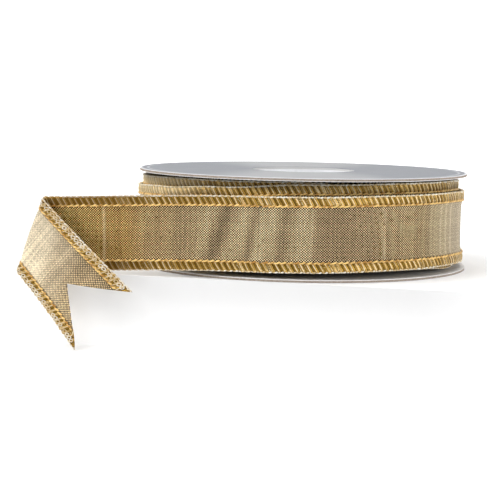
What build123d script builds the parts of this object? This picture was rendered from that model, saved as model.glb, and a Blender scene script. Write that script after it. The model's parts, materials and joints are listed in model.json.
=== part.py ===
from build123d import *
import os
from math import cos, sin, radians, hypot, atan2, degrees

# Ribbon spool: two round board flanges glued to a paper tube, carrying a wired-edge
# ribbon whose free end stands off the roll and is folded into a swallowtail.
# Millimetres.  +Z is the spool's axis.  The origin is on that axis, at the lower
# flange's outer face.

# ---- driving dimensions ----
FLANGE_RADIUS = 59.3
BORE_RADIUS = 18.5
BOARD_THICK = 0.7
PAPER_THICK = 0.15
SPOOL_HEIGHT = 34.7
LINING_THICK = 0.15
TUBE_WALL = 1.55
GLUE_LEG = 0.45
TAPE_THICK = 0.1
TAPE_WIDTH = 18.0
TAPE_SWEEP = 34.0

RIBBON_WIDTH = 25.3
WEB_THICK = 0.35
EDGE_WIDTH = 3.2
EDGE_THICK = 1.3
WIRE_RADIUS = 0.22
WIRE_BORE_RADIUS = 0.28
WIRE_INSET = 0.9

INNER_TURNS_RADIUS = 54.8
INNER_TURNS_START = 20.7
INNER_TURNS_CLEARANCE = 0.45

SECOND_TURN_RADIUS = 56.6
SECOND_TURN_CENTRE = (-0.95, 0.1)
SECOND_TURN_LOW = 7.3

OUTER_TURN_RADIUS = 58.5
OUTER_TURN_CENTRE = (-0.7, 0.6)
OUTER_TURN_LOW = 3.0
OUTER_TURN_SWEEP = 319.0
TAKE_OFF_ANGLE = 15.0
TAKE_OFF_GAP = 0.8

TAIL_START = 0.6
TAIL_DROOP = 2.1
CREASE_TOP = 74.0
CREASE_BOTTOM = 84.2
BEND_RADIUS = 1.2
CREASE_GAP = 0.3
FOLD_OPENING = 14.0
TIP_REACH = 121.0
NOTCH_REACH = 101.2
WIRE_END_INSET = 1.0

# ---- derived dimensions ----
FLANGE_THICK = BOARD_THICK + 2 * PAPER_THICK
TUBE_INNER = BORE_RADIUS + LINING_THICK
TUBE_OUTER = TUBE_INNER + TUBE_WALL
GAP_LOW = FLANGE_THICK
GAP_HIGH = SPOOL_HEIGHT - FLANGE_THICK
GAP_HEIGHT = GAP_HIGH - GAP_LOW
WEB_LOW = EDGE_WIDTH
WEB_HIGH = RIBBON_WIDTH - EDGE_WIDTH
HALF_WIDTH = RIBBON_WIDTH / 2


def disc_with_hole(outer, inner, low, high):
    """A flat ring round the spool's axis."""
    outline = Circle(outer) - Circle(inner)
    return Pos(0, 0, low) * extrude(outline, high - low)


def flange_board(low):
    """The chipboard sheet in the middle of a flange."""
    return disc_with_hole(FLANGE_RADIUS, BORE_RADIUS, low + PAPER_THICK, low + PAPER_THICK + BOARD_THICK)


def flange_paper(low):
    """One laminated paper face of a flange."""
    return disc_with_hole(FLANGE_RADIUS, BORE_RADIUS, low, low + PAPER_THICK)


def glue_ring(corner_height, upward):
    """A three-cornered bead of glue where the tube meets a flange."""
    rise = GLUE_LEG if upward else -GLUE_LEG
    section = make_face(
        Polyline(
            (TUBE_OUTER, corner_height),
            (TUBE_OUTER + GLUE_LEG, corner_height),
            (TUBE_OUTER, corner_height + rise),
            close=True,
        )
    )
    return revolve(Plane.XZ * section, Axis.Z)


def arc_ring(radius, thick, low, high, start, sweep, centre):
    """An upright band that follows part of a circle."""
    section = Pos(radius, (low + high) / 2) * Rectangle(thick, high - low)
    band = revolve(Plane.XZ * section, Axis.Z, sweep)
    return Pos(centre[0], centre[1], 0) * Rot(0, 0, start) * band


def arc_wire(radius, wire_radius, height, start, sweep, centre):
    """A round wire that follows part of a circle."""
    section = Pos(radius, height) * Circle(wire_radius)
    wire = revolve(Plane.XZ * section, Axis.Z, sweep)
    return Pos(centre[0], centre[1], 0) * Rot(0, 0, start) * wire


def start_tape():
    """The strip of tape that holds the ribbon's inner end on the tube."""
    middle = (GAP_LOW + GAP_HIGH) / 2
    radius = TUBE_OUTER + TAPE_THICK / 2
    return arc_ring(radius, TAPE_THICK, middle - TAPE_WIDTH / 2, middle + TAPE_WIDTH / 2, 0, TAPE_SWEEP, (0, 0))


def turn_parts(radius, low, start, sweep, centre):
    """Web, edges and wires of one wound turn, by name."""
    high = low + RIBBON_WIDTH
    place = (start, sweep, centre)
    upper_wire_at = high - WIRE_INSET
    lower_wire_at = low + WIRE_INSET
    upper_edge = arc_ring(radius, EDGE_THICK, high - EDGE_WIDTH, high, *place)
    lower_edge = arc_ring(radius, EDGE_THICK, low, low + EDGE_WIDTH, *place)
    return {
        "web": arc_ring(radius - EDGE_THICK / 4, WEB_THICK, low + WEB_LOW, low + WEB_HIGH, *place),
        "upper_edge": upper_edge - arc_wire(radius, WIRE_BORE_RADIUS, upper_wire_at, *place),
        "lower_edge": lower_edge - arc_wire(radius, WIRE_BORE_RADIUS, lower_wire_at, *place),
        "upper_wire": arc_wire(radius, WIRE_RADIUS, upper_wire_at, *place),
        "lower_wire": arc_wire(radius, WIRE_RADIUS, lower_wire_at, *place),
    }


def outer_turn():
    """The last full turn, from where the free end leaves round to the left side."""
    gap_angle = degrees(TAKE_OFF_GAP / OUTER_TURN_RADIUS)
    start = -90 - TAKE_OFF_ANGLE + gap_angle
    return turn_parts(OUTER_TURN_RADIUS, OUTER_TURN_LOW, start, OUTER_TURN_SWEEP, OUTER_TURN_CENTRE)


def second_turn():
    """The turn under the last one, which sits higher between the flanges."""
    return turn_parts(SECOND_TURN_RADIUS, SECOND_TURN_LOW, 0, 360, SECOND_TURN_CENTRE)


def tail_plane():
    """The plane of the free end: X along it, Y across it upwards, Z towards the roll."""
    turn = radians(TAKE_OFF_ANGLE)
    droop = radians(TAIL_DROOP)
    origin = (
        OUTER_TURN_CENTRE[0] - OUTER_TURN_RADIUS * sin(turn),
        OUTER_TURN_CENTRE[1] - OUTER_TURN_RADIUS * cos(turn),
        OUTER_TURN_LOW,
    )
    along = (-cos(turn) * cos(droop), sin(turn) * cos(droop), -sin(droop))
    return Plane(origin=origin, x_dir=along, z_dir=(sin(turn), cos(turn), 0))


def crease_at(across):
    """Where the crease crosses the ribbon, at a height across its width."""
    share = across / RIBBON_WIDTH
    return CREASE_BOTTOM + (CREASE_TOP - CREASE_BOTTOM) * share


def end_at(across):
    """Where the swallowtail cut crosses the ribbon, at a height across its width."""
    share = abs(across - HALF_WIDTH) / HALF_WIDTH
    return NOTCH_REACH + (TIP_REACH - NOTCH_REACH) * share


def flat_piece(points, thick):
    """A flat plate on the free end's plane, centred on it."""
    outline = make_face(Polyline(*points, close=True))
    return extrude(outline, thick / 2, both=True)


def straight_wire(start, end, across, wire_radius):
    """A round wire along the free end."""
    return Pos((start + end) / 2, across, 0) * Rot(0, 90, 0) * Cylinder(wire_radius, end - start)


def tail_piece(low, high, thick):
    """The part of the free end between two heights, from the roll to the crease."""
    points = [
        (TAIL_START, low),
        (crease_at(low) - CREASE_GAP, low),
        (crease_at(high) - CREASE_GAP, high),
        (TAIL_START, high),
    ]
    return flat_piece(points, thick)


def flap_piece(low, high, thick):
    """The part of the free end between two heights, from the crease to the cut end."""
    points = [(crease_at(low) + CREASE_GAP, low), (end_at(low), low)]
    if low < HALF_WIDTH < high:
        points.append((NOTCH_REACH, HALF_WIDTH))
    points.append((end_at(high), high))
    points.append((crease_at(high) + CREASE_GAP, high))
    return flat_piece(points, thick)


def tail_parts():
    """Web, edges and wires of the free end up to its crease, lying flat."""
    lower_at = WIRE_INSET
    upper_at = RIBBON_WIDTH - WIRE_INSET
    lower_end = crease_at(lower_at) - WIRE_END_INSET
    upper_end = crease_at(upper_at) - WIRE_END_INSET
    lower_edge = tail_piece(0, EDGE_WIDTH, EDGE_THICK)
    upper_edge = tail_piece(WEB_HIGH, RIBBON_WIDTH, EDGE_THICK)
    return {
        "web": tail_piece(WEB_LOW, WEB_HIGH, WEB_THICK),
        "upper_edge": upper_edge - straight_wire(0, CREASE_BOTTOM, upper_at, WIRE_BORE_RADIUS),
        "lower_edge": lower_edge - straight_wire(0, CREASE_BOTTOM, lower_at, WIRE_BORE_RADIUS),
        "upper_wire": straight_wire(TAIL_START, upper_end, upper_at, WIRE_RADIUS),
        "lower_wire": straight_wire(TAIL_START, lower_end, lower_at, WIRE_RADIUS),
    }


def flap_parts():
    """Web, edges and wires of the folded end, lying flat beyond the crease."""
    lower_at = WIRE_INSET
    upper_at = RIBBON_WIDTH - WIRE_INSET
    lower_start = crease_at(lower_at) + WIRE_END_INSET
    upper_start = crease_at(upper_at) + WIRE_END_INSET
    wire_end = end_at(lower_at) - WIRE_END_INSET
    lower_edge = flap_piece(0, EDGE_WIDTH, EDGE_THICK)
    upper_edge = flap_piece(WEB_HIGH, RIBBON_WIDTH, EDGE_THICK)
    return {
        "web": flap_piece(WEB_LOW, WEB_HIGH, WEB_THICK),
        "upper_edge": upper_edge - straight_wire(CREASE_TOP, TIP_REACH, upper_at, WIRE_BORE_RADIUS),
        "lower_edge": lower_edge - straight_wire(CREASE_TOP, TIP_REACH, lower_at, WIRE_BORE_RADIUS),
        "upper_wire": straight_wire(upper_start, wire_end, upper_at, WIRE_RADIUS),
        "lower_wire": straight_wire(lower_start, wire_end, lower_at, WIRE_RADIUS),
    }


def crease_axis():
    """The line that the flap turns about, in the free end's plane coordinates."""
    low_end = Vector(CREASE_BOTTOM, 0, -BEND_RADIUS)
    high_end = Vector(CREASE_TOP, RIBBON_WIDTH, -BEND_RADIUS)
    return Axis(low_end, high_end - low_end)


def spool_nodes():
    """Flanges, tube, glue and tape."""
    top = SPOOL_HEIGHT
    middle = (GAP_LOW + GAP_HIGH) / 2
    return {
        "lower_flange_board": flange_board(0),
        "lower_flange_outer_paper": flange_paper(0),
        "lower_flange_inner_paper": flange_paper(FLANGE_THICK - PAPER_THICK),
        "upper_flange_board": flange_board(top - FLANGE_THICK),
        "upper_flange_outer_paper": flange_paper(top - PAPER_THICK),
        "upper_flange_inner_paper": flange_paper(top - FLANGE_THICK),
        "core_tube": disc_with_hole(TUBE_OUTER, TUBE_INNER, GAP_LOW, GAP_HIGH),
        "core_lining": disc_with_hole(TUBE_INNER, BORE_RADIUS, GAP_LOW, GAP_HIGH),
        "lower_glue_ring": glue_ring(GAP_LOW, True),
        "upper_glue_ring": glue_ring(GAP_HIGH, False),
        "start_tape": start_tape(),
        "ribbon_inner_turns": disc_with_hole(
            INNER_TURNS_RADIUS,
            INNER_TURNS_START,
            GAP_LOW + INNER_TURNS_CLEARANCE,
            GAP_HIGH - INNER_TURNS_CLEARANCE,
        ),
    }


def roll_nodes():
    """The two outermost turns of the roll, in one node for each kind of piece."""
    outer = outer_turn()
    second = second_turn()
    return {"roll_" + name: Compound(children=[outer[name], second[name]]) for name in outer}


def tail_nodes():
    """The free end from the roll to its crease."""
    plane = tail_plane()
    return {"tail_" + name: plane * piece for name, piece in tail_parts().items()}


def flap_nodes():
    """The folded swallowtail, turned about the crease."""
    plane = tail_plane()
    axis = crease_axis()
    turn = 180 - FOLD_OPENING
    return {"flap_" + name: plane * piece.rotate(axis, turn) for name, piece in flap_parts().items()}


def build_nodes():
    """Every node of the spool, by name."""
    nodes = spool_nodes()
    nodes.update(roll_nodes())
    nodes.update(tail_nodes())
    nodes.update(flap_nodes())
    return nodes


os.makedirs("parts", exist_ok=True)
for node_name, node_shape in build_nodes().items():
    export_step(node_shape, "parts/" + node_name + ".step")
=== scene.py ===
import json
import math

import bmesh
import bpy
import numpy as np
from mathutils import Matrix, Vector


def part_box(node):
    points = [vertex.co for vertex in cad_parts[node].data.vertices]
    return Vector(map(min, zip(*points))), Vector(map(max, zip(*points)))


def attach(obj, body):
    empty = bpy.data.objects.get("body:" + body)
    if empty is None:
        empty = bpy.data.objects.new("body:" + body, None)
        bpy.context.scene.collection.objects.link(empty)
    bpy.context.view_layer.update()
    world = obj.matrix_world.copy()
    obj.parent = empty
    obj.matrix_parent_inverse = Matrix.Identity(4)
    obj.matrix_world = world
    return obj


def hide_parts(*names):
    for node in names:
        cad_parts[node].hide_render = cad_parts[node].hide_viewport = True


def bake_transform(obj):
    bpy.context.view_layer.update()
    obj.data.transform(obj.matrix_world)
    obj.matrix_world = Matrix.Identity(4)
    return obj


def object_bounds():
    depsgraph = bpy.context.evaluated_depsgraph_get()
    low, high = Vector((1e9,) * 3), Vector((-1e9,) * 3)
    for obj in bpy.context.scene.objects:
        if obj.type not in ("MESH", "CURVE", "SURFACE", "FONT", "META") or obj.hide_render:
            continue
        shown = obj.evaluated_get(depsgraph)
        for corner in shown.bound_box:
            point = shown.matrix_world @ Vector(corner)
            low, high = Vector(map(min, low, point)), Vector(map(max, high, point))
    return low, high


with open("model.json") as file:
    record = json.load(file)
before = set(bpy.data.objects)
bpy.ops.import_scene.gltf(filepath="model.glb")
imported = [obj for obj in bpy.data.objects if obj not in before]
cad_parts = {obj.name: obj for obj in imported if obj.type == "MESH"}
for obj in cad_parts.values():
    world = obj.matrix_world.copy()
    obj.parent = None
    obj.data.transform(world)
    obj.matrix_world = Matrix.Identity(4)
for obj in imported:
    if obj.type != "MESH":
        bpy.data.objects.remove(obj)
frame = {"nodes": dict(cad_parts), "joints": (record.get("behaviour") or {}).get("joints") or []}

cad_low, cad_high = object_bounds()
MM = 0.001
joints = {joint["name"]: joint for joint in frame["joints"]}

# ---- sizes, in metres
RIBBON_WIDTH = 25.3 * MM
EDGE_WIDTH = 3.2 * MM
EDGE_HALF_THICK = 0.58 * MM
WEB_THICK = 0.26 * MM
WEB_UNDER_EDGE = 0.7 * MM
WEB_SET_BACK = 0.34 * MM
STITCH_PITCH = 2.07 * MM
STITCH_SLANT = 0.55
NEEDLE_PITCH = STITCH_PITCH / 2
RING_PITCH = 1.6 * MM
WIRE_RADIUS = 0.22 * MM
WIRE_INSET = 0.9 * MM
BEND_RADIUS = 1.2 * MM
TURN_PITCH = 0.94 * MM
TAIL_SETTLE = 80 * MM
SEAM_BEFORE_CREASE = 4.0 * MM
NOTCH_HEIGHT = 11.6 * MM
NOTCH_FROM_CREASE = 25.3 * MM
UPPER_TIP_FROM_CREASE = 45.1 * MM
LOWER_TIP_FROM_CREASE = 46.1 * MM

# ---- the ribbon's line
take_off = Vector(joints["tail_swing"]["pos_m"])
take_off.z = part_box("roll_lower_edge")[0].z
TAKE_OFF_TURN = math.radians(15)
TAIL_DROOP = math.radians(2.1)
tail_along = Vector((-math.cos(TAKE_OFF_TURN), math.sin(TAKE_OFF_TURN), 0))
tail_outward = Vector((-math.sin(TAKE_OFF_TURN), -math.cos(TAKE_OFF_TURN), 0))

# Where the crease crosses the two edges, measured along the ribbon from the take-off.
CREASE_LOW = 84.2 * MM
CREASE_HIGH = 74.0 * MM
crease_run = Vector((CREASE_HIGH - CREASE_LOW, RIBBON_WIDTH)).normalized()
past_crease = Vector((crease_run.y, -crease_run.x))
MEAN_OPENING = 14.0
OPENING_LOSS = 550
OPENING_LIMITS = (9, 22)
FLAP_RISE, FLAP_RISE_AT = 1.5 * MM, 43 * MM
FLAP_CUP, FLAP_CUP_AT = 0.9 * MM, 20 * MM

# The roll, as (turned angle from the take-off in degrees, radius, height of the lower edge), in mm.
ROLL_KEYS = [
    (0, 58.11, 3.0), (15, 57.95, 3.2), (45, 57.8, 3.7), (75, 57.8, 3.8), (105, 57.85, 3.1),
    (195, 59.0, 2.7), (285, 59.2, 3.3), (320, 58.4, 4.4), (345, 57.2, 5.6), (375, 56.5, 7.2),
    (410, 56.1, 7.6), (440, 55.9, 7.5), (465, 55.7, 6.8), (555, 56.5, 6.5), (645, 57.5, 6.8),
    (695, 56.3, 7.6), (735, 55.2, 7.9), (756, 54.9, 6.4), (782, 54.7, 3.0), (805, 54.5, 1.8),
    (835, 54.2, 1.6), (915, 54.6, 2.6), (1000, 55.5, 4.6), (1080, 53.7, 5.8),
]
CORE_CLEAR = 20.75
INNER_LOW = 1.7
INNER_WANDER = 5.6


def smooth(t):
    """Eases from 0 to 1."""
    t = np.clip(t, 0.0, 1.0)
    return t * t * (3 - 2 * t)


def eased_keys(at, keys, column):
    """Keyed values with an easy run from each key to the next."""
    spots = np.array([key[0] for key in keys], float)
    values = np.array([key[column] for key in keys], float)
    left = np.clip(np.searchsorted(spots, at, side="right") - 1, 0, len(spots) - 2)
    share = smooth((at - spots[left]) / (spots[left + 1] - spots[left]))
    return values[left] + (values[left + 1] - values[left]) * share


def wind_roll():
    """The roll's line from the take-off to the core: its length, place, outward side and height."""
    last_angle, last_radius, last_low = ROLL_KEYS[-1]
    turns_left = (last_radius - CORE_CLEAR) * MM / TURN_PITCH
    angle = np.arange(0, last_angle + 360 * turns_left, 1.0)
    beyond = np.maximum(angle - last_angle, 0)
    keyed = np.minimum(angle, last_angle)
    radius = eased_keys(keyed, ROLL_KEYS, 1) * MM - TURN_PITCH * beyond / 360
    wander = 0.5 + 0.5 * np.cos(beyond * 0.0061) * np.cos(beyond * 0.0023)
    low = eased_keys(keyed, ROLL_KEYS, 2)
    low = low + (INNER_LOW + INNER_WANDER * wander - last_low) * smooth(beyond / 200)
    start = math.atan2(take_off.y, take_off.x)
    turned = start + np.radians(angle)
    x, y = radius * np.cos(turned), radius * np.sin(turned)
    length = np.concatenate([[0], np.cumsum(np.hypot(np.diff(x), np.diff(y)))])
    dx, dy = np.gradient(x, length), np.gradient(y, length)
    size = np.hypot(dx, dy)
    out_x, out_y = dy / size, -dx / size
    return dict(length=length, x=x, y=y, out_x=out_x, out_y=out_y, low=low * MM, angle=angle)


roll = wind_roll()


def length_at(angle):
    """Length of ribbon on the roll up to a turned angle, from the take-off."""
    return float(np.interp(angle, roll["angle"], roll["length"]))


OUTER_TURNS_LENGTH = length_at(ROLL_KEYS[-1][0])
WHOLE_ROLL_LENGTH = float(roll["length"][-1])


def beyond_crease(x, y):
    """How far a point of the flat ribbon lies past the crease."""
    return (x - CREASE_LOW) * past_crease.x + y * past_crease.y


def fold(x, y, z):
    """Folds the flat ribbon: past the crease it goes round a soft bend and back, a little cupped."""
    past = beyond_crease(x, y)
    up_crease = (x - CREASE_LOW) * crease_run.x + y * crease_run.y
    opening = np.clip(MEAN_OPENING - OPENING_LOSS * up_crease, *OPENING_LIMITS)
    fold_angle = np.radians(180 - opening)
    turned = np.clip(past / BEND_RADIUS, 0, fold_angle)
    straight = np.maximum(past - BEND_RADIUS * fold_angle, 0)
    lift = -z
    reach = (BEND_RADIUS - lift) * np.sin(turned) + straight * np.cos(turned)
    height = BEND_RADIUS - (BEND_RADIUS - lift) * np.cos(turned) + straight * np.sin(turned)
    across = (y / RIBBON_WIDTH - 0.5) * 2
    height = height + FLAP_CUP * (1 - across**2) * np.minimum(straight / FLAP_CUP_AT, 1)
    folded = past > 0
    shift = np.where(folded, reach - past, 0)
    rise = np.where(folded, FLAP_RISE * (straight / FLAP_RISE_AT) ** 2, 0)
    folded_x = x + shift * past_crease.x + rise * crease_run.x
    folded_y = y + shift * past_crease.y + rise * crease_run.y
    return folded_x, folded_y, np.where(folded, -height, z)


def on_ribbon(points):
    """Lays points of the flat ribbon: X runs to its free end, Y up across it, Z in towards the roll."""
    x, y, z = fold(*np.asarray(points, float).T)
    wound = np.maximum(-x, 0)
    roll_x, roll_y, out_x, out_y, low = (
        np.interp(wound, roll["length"], roll[key]) for key in ("x", "y", "out_x", "out_y", "low")
    )
    size = np.hypot(out_x, out_y)
    on_roll = np.stack([roll_x - z * out_x / size, roll_y - z * out_y / size, low + y], 1)
    free = np.maximum(x, 0)
    settled = np.minimum(free / TAIL_SETTLE, 1)
    drop = np.where(settled < 1, TAIL_SETTLE * settled**2 * (2 - settled), free) * math.sin(TAIL_DROOP)
    lean = TAIL_DROOP * smooth(settled)
    along = free * math.cos(TAIL_DROOP) + y * np.sin(lean)
    tail_x = take_off.x + along * tail_along.x - z * tail_outward.x
    tail_y = take_off.y + along * tail_along.y - z * tail_outward.y
    on_tail = np.stack([tail_x, tail_y, take_off.z - drop + y * np.cos(lean)], 1)
    return np.where((x > 0)[:, None], on_tail, on_roll)


# ---- where each section starts and ends
def seam_at(y):
    """The line before the crease where the tail's pieces end and the flap's begin."""
    return CREASE_LOW - (y * past_crease.y + SEAM_BEFORE_CREASE) / past_crease.x


def cut_at(y):
    """The swallowtail cut across the ribbon."""
    above, below = (y - NOTCH_HEIGHT) / (RIBBON_WIDTH - NOTCH_HEIGHT), (NOTCH_HEIGHT - y) / NOTCH_HEIGHT
    reach = NOTCH_FROM_CREASE + (UPPER_TIP_FROM_CREASE - NOTCH_FROM_CREASE) * np.maximum(above, 0)
    reach = reach + (LOWER_TIP_FROM_CREASE - NOTCH_FROM_CREASE) * np.maximum(below, 0)
    return CREASE_LOW - RIBBON_WIDTH / 2 * past_crease.y / past_crease.x + reach


SECTIONS = {
    "roll": {"start": lambda y: -OUTER_TURNS_LENGTH, "end": lambda y: 0.0, "step": 0.8 * MM},
    "tail": {"start": lambda y: 0.0, "end": seam_at, "step": 0.5 * MM},
    "flap": {"start": seam_at, "end": cut_at, "step": 0.55 * MM},
}


def keep_with_body(piece, section):
    """Joins a roll piece to the spool's body; a tail or flap piece only gets its placement baked into its
    points.
    """
    if section == "roll":
        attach(piece, "spool")
    elif section == "tail":
        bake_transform(piece)
    else:
        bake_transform(piece)


# ---- mesh helpers
def deselect_all():
    """Leaves edit mode and clears the selection."""
    if bpy.context.object and bpy.context.object.mode != "OBJECT":
        bpy.ops.object.mode_set(mode="OBJECT")
    bpy.ops.object.select_all(action="DESELECT")


def make_active(piece):
    """Selects one piece alone."""
    deselect_all()
    piece.select_set(True)
    bpy.context.view_layer.objects.active = piece


def apply_modifiers(piece):
    """Applies every modifier of a piece."""
    make_active(piece)
    for modifier in list(piece.modifiers):
        bpy.ops.object.modifier_apply(modifier=modifier.name)


def piece_from(name, points, faces, uv=None, smooth_shaded=True):
    """A new object from points and faces, with its own UV map in millimetres of ribbon."""
    mesh = bpy.data.meshes.new(name)
    mesh.from_pydata([tuple(p) for p in points], [], [tuple(int(i) for i in f) for f in faces])
    if uv is not None:
        layer = mesh.uv_layers.new(name="ribbon")
        corner = np.zeros(len(mesh.loops), np.int32)
        mesh.loops.foreach_get("vertex_index", corner)
        layer.data.foreach_set("uv", (np.asarray(uv, float)[corner] * 1000).astype(np.float32).ravel())
    mesh.polygons.foreach_set("use_smooth", [smooth_shaded] * len(mesh.polygons))
    mesh.update()
    piece = bpy.data.objects.new(name, mesh)
    bpy.context.scene.collection.objects.link(piece)
    return piece


def grid_faces(rows, columns, closed=False):
    """Faces of a grid whose columns run round when closed."""
    r = np.arange(rows - 1)[:, None]
    c = np.arange(columns if closed else columns - 1)[None, :]
    nxt = (c + 1) % columns
    a = r * columns + c
    b = r * columns + nxt
    return np.stack([a, b, b + columns, a + columns], -1).reshape(-1, 4)


def tube_piece(name, x, across, depth, middle=0.0):
    """A closed tube along the ribbon from its rows of points, with its UV measured from its own middle."""
    rows, count = x.shape
    flat = np.stack(np.broadcast_arrays(x, across, depth), -1).reshape(-1, 3)
    faces = [tuple(f) for f in grid_faces(rows, count, closed=True)]
    faces.append(tuple(range(count)))
    faces.append(tuple(reversed(range((rows - 1) * count, rows * count))))
    piece = piece_from(name, on_ribbon(flat), faces, flat[:, :2] - (0, middle))
    recalculate_outward(piece)
    return piece


def recalculate_outward(piece):
    """Turns every face of a closed shape outwards."""
    shape = bmesh.new()
    shape.from_mesh(piece.data)
    bmesh.ops.recalc_face_normals(shape, faces=shape.faces)
    shape.to_mesh(piece.data)
    shape.free()
    piece.data.update()


# ---- the ribbon's cloth
# Soft cross ripples of the cloth, as (middle along the ribbon, half width, slant, height), in mm.
RIPPLES = [
    (44, 3.2, -0.2, 0.25), (36, 3.0, -0.2, -0.2), (25, 2.6, -0.3, -0.2), (18.2, 2.6, -0.33, 0.4),
    (10.8, 2.4, -0.33, -0.35), (5.4, 1.8, -0.25, 0.32), (1.2, 1.6, -0.2, -0.25), (-4.6, 2.2, -0.16, 0.34),
    (-10.6, 2.0, -0.12, -0.3), (-16.2, 2.0, -0.1, 0.26), (-22, 2.4, -0.05, -0.18), (58, 5.0, -0.1, -0.22),
    (-34, 3.0, 0.05, 0.12), (-60, 4.5, -0.1, 0.12), (-84, 5.0, 0.08, -0.14), (92, 3.0, 0.5, 0.5),
    (98, 2.6, 0.4, -0.4), (105, 3.0, 0.4, 0.3), (-130, 6.0, 0.1, 0.2), (-170, 5.0, -0.1, -0.2),
    (-215, 6.0, 0.12, 0.22), (-260, 5.0, 0.0, -0.2), (-300, 6.0, -0.1, 0.2), (-340, 5.0, 0.1, 0.2),
]
# Painted light and shade on the cloth along the ribbon, as (distance, brightness, warmth, silver), in mm and
# shares: brightness is painted shade and highlight, warmth a painted warm bounce light near the crease,
# silver a painted reflection.
PAINTED_LIGHT_ALONG = [
    (-400, 0.9, 0.1, 0.05), (-300, 1.0, 0.1, 0.1), (-200, 0.85, 0.1, 0.05), (-110, 0.9, 0.1, 0.2),
    (-82, 0.74, 0.1, 0.3), (-72, 0.9, 0.1, 0.15), (-60, 0.76, 0.15, 0.0), (-46, 0.77, 0.1, 0.0),
    (-36, 0.68, 0.0, 0.0), (-20.5, 0.63, 0.0, 0.0), (-15, 1.04, 0.0, 0.0), (0, 1.02, 0.0, 0.03),
    (17, 0.98, 0.0, 0.0), (25, 0.78, 0.15, 0.0), (37, 0.78, 0.4, 0.0), (48, 0.9, 1.0, 0.0),
    (74, 1.25, 1.0, 0.0),
]
# Painted shade and highlight bands on it, following the ripples, and narrow pale slub lines in the yarn, as
# (middle, half width, slant, change).
PAINTED_BANDS_AND_SLUBS = [
    (14.2, 2.7, -0.33, -0.46), (3.2, 1.5, -0.2, -0.34), (-1.6, 2.2, -0.25, 0.14),
    (-7.8, 2.1, -0.12, -0.36), (-13.6, 2.5, -0.1, 0.14), (19.5, 2.5, -0.3, 0.1), (31, 1.0, -0.05, 0.14),
    (42, 2.2, -0.35, 0.2), (-17.2, 0.6, -0.05, 0.1), (54.6, 0.4, 0.0, 0.26), (-43, 0.4, 0.02, 0.24),
    (-65, 0.6, 0.03, 0.1), (-71, 0.5, 0.0, 0.14), (-75, 0.6, 0.02, 0.1), (-79, 0.5, 0.0, 0.14),
]
# Painted light and shade on the flap by distance past the crease, as (distance, brightness, warmth, silver).
PAINTED_LIGHT_ON_FLAP = [
    (0, 0.74, 0.2, 1.0), (9, 0.73, 0.2, 0.85), (16, 0.66, 0.4, 0.45), (27, 0.72, 0.4, 0.15),
    (45, 0.72, 0.4, 0.1),
]


def cloth_depth(x, y):
    """How far the cloth lies in from the edges' middle: pulled in between them, with soft ripples."""
    across = np.clip((y - EDGE_WIDTH) / (RIBBON_WIDTH - 2 * EDGE_WIDTH), 0, 1)
    hollow = np.sin(np.pi * across)
    depth = WEB_SET_BACK * smooth(hollow * 3) + 0.25 * MM * hollow
    for middle, half_width, slant, height in RIPPLES:
        offset = (x / MM - middle - slant * (y / MM - 12)) / half_width
        depth = depth - height * MM * np.exp(-offset**2) * smooth(hollow * 1.6)
    fine = 0.035 * MM * np.sin(x / MM * 1.9 + 2 * np.sin(y / MM * 0.35)) * hollow
    return depth + fine


def painted_cloth_light_and_slubs(x, y):
    """Painted light on the cloth at each place on the flat ribbon, as brightness, warmth and silver: painted
    shade and highlight, a painted warm bounce and painted reflections, with pale slub lines in the yarn among
    the narrow bands.
    """
    folded = beyond_crease(x, y) > -1.5 * MM
    past = beyond_crease(x, y) / MM
    on_flap, on_rest = np.clip(past, 0, PAINTED_LIGHT_ON_FLAP[-1][0]), np.clip(x / MM, PAINTED_LIGHT_ALONG[0][0], PAINTED_LIGHT_ALONG[-1][0])
    tone = [
        np.where(folded, eased_keys(on_flap, PAINTED_LIGHT_ON_FLAP, k), eased_keys(on_rest, PAINTED_LIGHT_ALONG, k))
        for k in (1, 2, 3)
    ]
    change = np.zeros_like(x)
    for middle, half_width, slant, amount in PAINTED_BANDS_AND_SLUBS:
        offset = (x / MM - middle - slant * (y / MM - 12)) / half_width
        change = change + amount * np.exp(-offset**2)
        if half_width < 0.7:
            tone[2] = tone[2] + amount * np.exp(-offset**2)
    tone[0] = tone[0] * (1 + change)
    # Painted light on the flap: brighter towards its lower edge, darker towards its upper edge.
    tone[0] = tone[0] * np.where(folded, 1 + 0.42 * (0.5 - y / RIBBON_WIDTH), 1)
    return np.stack(tone, -1)


def cloth_piece(name, section):
    """The woven cloth of one section of the ribbon, tucked under both edges."""
    low, high = EDGE_WIDTH - WEB_UNDER_EDGE, RIBBON_WIDTH - EDGE_WIDTH + WEB_UNDER_EDGE
    y = np.linspace(low, high, 23)
    start = np.array([SECTIONS[section]["start"](value) for value in y])
    end = np.array([SECTIONS[section]["end"](value) for value in y])
    rows = int(np.ceil((end - start).max() / SECTIONS[section]["step"])) + 1
    share = np.linspace(0, 1, rows)[:, None]
    x = start + (end - start) * share
    flat_y = np.broadcast_to(y, x.shape)
    flat = np.stack([x, flat_y, cloth_depth(x, flat_y)], -1).reshape(-1, 3)
    piece = piece_from(name, on_ribbon(flat), grid_faces(rows, len(y))[:, ::-1], flat[:, :2])
    painted_light_and_slubs = piece.data.attributes.new("painted_light_and_slubs", "FLOAT_VECTOR", "POINT")
    painted_light_and_slubs.data.foreach_set("vector", painted_cloth_light_and_slubs(flat[:, 0], flat[:, 1]).astype(np.float32).ravel())
    thick = piece.modifiers.new("thickness", "SOLIDIFY")
    thick.thickness = WEB_THICK
    thick.offset = 0
    apply_modifiers(piece)
    recalculate_outward(piece)
    make_active(piece)
    bpy.ops.object.shade_smooth_by_angle(angle=math.radians(50))
    return piece


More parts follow.
